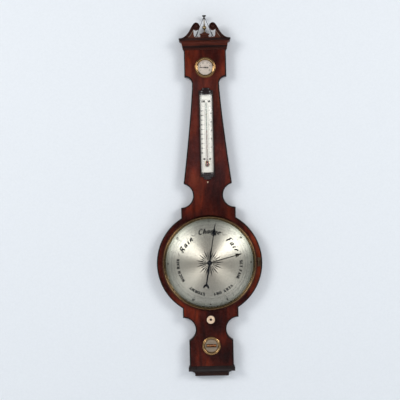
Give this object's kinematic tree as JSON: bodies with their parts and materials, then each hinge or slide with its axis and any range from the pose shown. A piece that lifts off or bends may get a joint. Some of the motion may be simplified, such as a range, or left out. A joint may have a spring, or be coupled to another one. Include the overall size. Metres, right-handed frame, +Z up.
{
  "type": "wheel barometer",
  "caption": "Banjo-shaped wall barometer: a siphon tube and float turn a hand round an engraved dial, with thermometer, hygrometer, spirit level and a knob-driven set hand.",
  "frame": {"origin": "On the wall plane, level with the top of the hanging wire, on the case's centre line.", "axes": "+Z up. -Y is the front, towards the viewer, and +Y is the outward normal of the case's flat back, into the wall. +X is to the right seen from the front."},
  "size_m": [0.306, 0.0477, 1.045],
  "materials": {
    "mahogany": "french-polished dark mahogany",
    "flame_veneer": "french-polished figured mahogany veneer",
    "ebonised": "polished ebonised wood",
    "pine": "aged, unpolished softwood",
    "silvered_brass": "silvered, brushed and engraved",
    "brass": "aged polished brass",
    "blued_steel": "blued and polished",
    "steel": "dull steel",
    "glass": "clear",
    "bone": "turned and polished bone",
    "mercury": "liquid metal",
    "spirit": "tinted liquid",
    "silk": "thin twisted thread",
    "oat_beard": "dry straw"
  },
  "bodies": {
    "case": {"arbor_bridge": "brass", "base_foot": "mahogany", "base_moulding": "ebonised", "bezel_hinge_leaf": "brass", "case_board": "pine", "cornice_moulding": "mahogany", "dial_plate": "silvered_brass", "dial_screw_bottom": "brass", "dial_screw_left": "brass", "dial_screw_right": "brass", "dial_screw_top": "brass", "edge_stringing": "ebonised", "finial": "brass", "finial_plinth": "mahogany", "front_veneer": "flame_veneer", "hanging_wire": "steel", "hinge_lower_case_leaf": "brass", "hinge_upper_case_leaf": "brass", "hygrometer_bezel": "brass", "hygrometer_dial": "silvered_brass", "hygrometer_glass": "glass", "level_bezel": "brass", "level_plate": "silvered_brass", "level_spirit": "spirit", "level_vial": "glass", "mercury": "mercury", "oat_beard": "oat_beard", "pediment_board": "mahogany", "rod_guide": "brass", "screw_eye_left": "steel", "screw_eye_right": "steel", "siphon_tube": "glass", "swan_neck_left": "mahogany", "swan_neck_right": "mahogany", "thermometer_frame": "ebonised", "thermometer_glass": "glass", "thermometer_scale": "silvered_brass", "thermometer_spirit": "spirit", "thermometer_tube": "glass", "tube_clip": "brass", "turn_button_screw": "brass"},
    "back_door": {"back_door": "pine", "hinge_lower_door_leaf": "brass", "hinge_upper_door_leaf": "brass"},
    "counterweight": {"counter_thread": "silk", "counterweight": "glass"},
    "float": {"float_thread": "silk", "float_weight": "glass"},
    "pointer": {"hand_arbor": "steel", "pressure_hand": "blued_steel", "thread_pulley": "brass"},
    "hygrometer_pointer": {"hygrometer_hand": "blued_steel"},
    "main_bezel": {"main_bezel": "brass", "main_glass": "glass"},
    "set_pointer": {"set_hand": "brass", "set_hand_wheel": "brass"},
    "setting_knob": {"setting_arbor": "brass", "setting_knob": "bone"},
    "setting_rod": {"setting_rod": "steel"},
    "turn_button": {"turn_button": "brass"}
  },
  "joints": [
    {"name": "pointer_turn", "type": "hinge", "parent": "case", "child": "pointer", "pos_m": [0, -0.0136, -0.716], "axis": [0, 1, 0], "range_deg": [-164.3, 145.7], "stiffness_Nm_per_rad": 0.00011},
    {"name": "float_slide", "type": "slide", "parent": "case", "child": "float", "axis": [0, 0, 1], "range_m": [-0.0181, 0.0204], "deforming": ["float_thread", "mercury"]},
    {"name": "counterweight_slide", "type": "slide", "parent": "case", "child": "counterweight", "axis": [0, 0, 1], "range_m": [-0.0204, 0.0181], "deforming": ["counter_thread"]},
    {"name": "set_hand_turn", "type": "hinge", "parent": "case", "child": "set_pointer", "pos_m": [0, -0.0318, -0.716], "axis": [0, 1, 0], "continuous": true},
    {"name": "rod_turn", "type": "hinge", "parent": "case", "child": "setting_rod", "pos_m": [0, -0.0238, -0.796], "axis": [0, 0, 1], "continuous": true},
    {"name": "knob_turn", "type": "hinge", "parent": "case", "child": "setting_knob", "pos_m": [0, -0.03, -0.8807], "axis": [0, 1, 0], "continuous": true},
    {"name": "hygrometer_hand_turn", "type": "hinge", "parent": "case", "child": "hygrometer_pointer", "pos_m": [0, -0.0315, -0.1485], "axis": [0, 1, 0], "range_deg": [-100, 100], "stiffness_Nm_per_rad": 0.0003},
    {"name": "bezel_hinge", "type": "hinge", "parent": "case", "child": "main_bezel", "pos_m": [0.1414, -0.0344, -0.716], "axis": [0, 0, 1], "range_deg": [0, 105]},
    {"name": "back_door_hinge", "type": "hinge", "parent": "case", "child": "back_door", "pos_m": [-0.01715, -0.0015, -0.546], "axis": [0, 0, 1], "range_deg": [0, 110]},
    {"name": "turn_button_turn", "type": "hinge", "parent": "case", "child": "turn_button", "pos_m": [0.044, -0.0022, -0.616], "axis": [0, 1, 0], "range_deg": [-90, 0]}
  ],
  "couplings": [
    {"joint": "float_slide", "follows": "pointer_turn", "m_per_rad": -0.00704},
    {"joint": "counterweight_slide", "follows": "pointer_turn", "m_per_rad": 0.00704},
    {"joint": "rod_turn", "follows": "set_hand_turn", "ratio": -3},
    {"joint": "knob_turn", "follows": "set_hand_turn", "ratio": 1}
  ]
}
